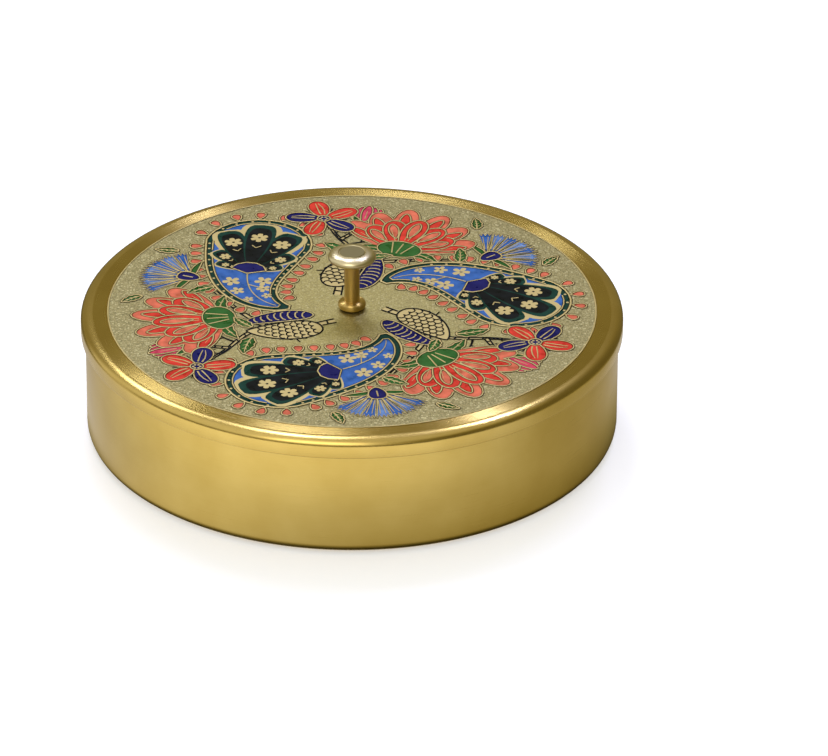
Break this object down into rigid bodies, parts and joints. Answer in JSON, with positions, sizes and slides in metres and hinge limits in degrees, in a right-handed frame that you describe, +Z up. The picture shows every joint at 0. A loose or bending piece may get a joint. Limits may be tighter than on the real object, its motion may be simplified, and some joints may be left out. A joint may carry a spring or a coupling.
{
  "type": "spice box",
  "caption": "Round low brass spice box with a lift-off enamelled lid, a turned knob on a slim stem, and small loose bowls with a spoon inside.",
  "frame": {"origin": "on the box's axis, on the surface that the box stands on", "axes": "+Z up along the axis of the box, the lid and the knob; +X through the first bowl of the ring; the picture is taken from -Y"},
  "size_m": [0.18, 0.18, 0.0638],
  "materials": {
    "pan_brass": "satin, fine brushed lines round the wall",
    "lid_brass": "satin border spun round the axis, stippled pale field in the middle",
    "turned_brass": "polished",
    "pale_brass": "polished rim, duller flat middle",
    "bowl_brass": "satin",
    "spoon_brass": "polished",
    "screw_steel": "plain",
    "lid_enamel": "glossy coloured enamel in thin fields"
  },
  "bodies": {
    "pan": {"box_body": "pan_brass"},
    "lid_and_knob": {"lid": "lid_brass", "knob_collar": "turned_brass", "knob_stem": "turned_brass", "knob_head": "pale_brass", "knob_washer": "screw_steel", "knob_screw": "screw_steel"},
    "middle_bowl": {"spice_bowl_centre": "bowl_brass"},
    "ring_bowl_1": {"spice_bowl_1": "bowl_brass"},
    "ring_bowl_2": {"spice_bowl_2": "bowl_brass"},
    "ring_bowl_3": {"spice_bowl_3": "bowl_brass"},
    "ring_bowl_4": {"spice_bowl_4": "bowl_brass"},
    "ring_bowl_5": {"spice_bowl_5": "bowl_brass"},
    "ring_bowl_6": {"spice_bowl_6": "bowl_brass"},
    "loose_spoon": {"spoon": "spoon_brass"}
  },
  "joints": [
    {"name": "lid_lift", "type": "slide", "parent": "pan", "child": "lid_and_knob", "axis": [0, 0, 1], "range_m": [0, 0.12]},
    {"name": "middle_bowl_lift", "type": "slide", "parent": "pan", "child": "middle_bowl", "axis": [0, 0, 1], "range_m": [0, 0.06]},
    {"name": "ring_bowl_1_lift", "type": "slide", "parent": "pan", "child": "ring_bowl_1", "axis": [0, 0, 1], "range_m": [0, 0.06]},
    {"name": "ring_bowl_2_lift", "type": "slide", "parent": "pan", "child": "ring_bowl_2", "axis": [0, 0, 1], "range_m": [0, 0.06]},
    {"name": "ring_bowl_3_lift", "type": "slide", "parent": "pan", "child": "ring_bowl_3", "axis": [0, 0, 1], "range_m": [0, 0.06]},
    {"name": "ring_bowl_4_lift", "type": "slide", "parent": "pan", "child": "ring_bowl_4", "axis": [0, 0, 1], "range_m": [0, 0.06]},
    {"name": "ring_bowl_5_lift", "type": "slide", "parent": "pan", "child": "ring_bowl_5", "axis": [0, 0, 1], "range_m": [0, 0.06]},
    {"name": "ring_bowl_6_lift", "type": "slide", "parent": "pan", "child": "ring_bowl_6", "axis": [0, 0, 1], "range_m": [0, 0.06]},
    {"name": "spoon_lift", "type": "slide", "parent": "pan", "child": "loose_spoon", "axis": [0, 0, 1], "range_m": [0, 0.09]}
  ],
  "couplings": [
    {"joint": "middle_bowl_lift", "follows": "lid_lift", "ratio": 0.5},
    {"joint": "ring_bowl_1_lift", "follows": "lid_lift", "ratio": 0.5},
    {"joint": "ring_bowl_2_lift", "follows": "lid_lift", "ratio": 0.5},
    {"joint": "ring_bowl_3_lift", "follows": "lid_lift", "ratio": 0.5},
    {"joint": "ring_bowl_4_lift", "follows": "lid_lift", "ratio": 0.5},
    {"joint": "ring_bowl_5_lift", "follows": "lid_lift", "ratio": 0.5},
    {"joint": "ring_bowl_6_lift", "follows": "lid_lift", "ratio": 0.5},
    {"joint": "spoon_lift", "follows": "lid_lift", "ratio": 0.75}
  ]
}
